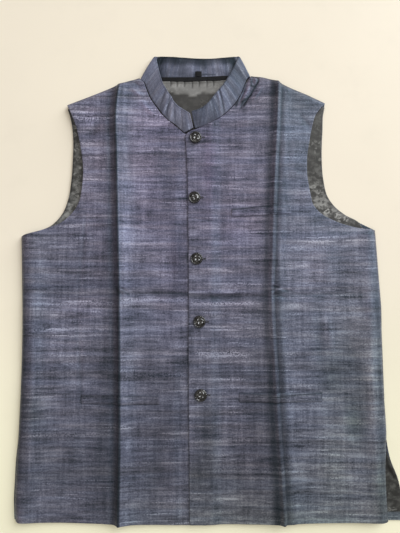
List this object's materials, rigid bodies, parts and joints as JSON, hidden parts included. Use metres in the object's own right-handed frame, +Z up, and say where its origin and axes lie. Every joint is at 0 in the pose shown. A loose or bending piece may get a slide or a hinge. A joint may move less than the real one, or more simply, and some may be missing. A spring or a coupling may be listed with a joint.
{
  "type": "sleeveless band-collar jacket laid flat",
  "caption": "Sleeveless buttoned jacket with a standing band collar, welt pockets and side vents, lying flat face up as a cloth prop.",
  "frame": {"origin": "on the floor under the middle of the whole outline", "axes": "+Z up from the floor through the cloth, +Y from the hem towards the collar, +X towards the wearer's left"},
  "size_m": [0.5824, 0.7192, 0.0205],
  "materials": {
    "slub_cloth": "slub weave with a soft sheen",
    "figured_satin": "figured satin",
    "black_tape": "matte",
    "black_button": "gloss"
  },
  "bodies": {
    "root": {"back": "slub_cloth", "back_lining": "figured_satin", "front_right": "slub_cloth", "front_left": "slub_cloth", "collar": "slub_cloth", "hip_welt_right": "slub_cloth", "hip_welt_left": "slub_cloth", "chest_welt": "slub_cloth", "neck_tape": "black_tape", "hang_tab": "black_tape", "button_1": "black_button", "button_2": "black_button", "button_3": "black_button", "button_4": "black_button", "button_5": "black_button"}
  },
  "joints": []
}
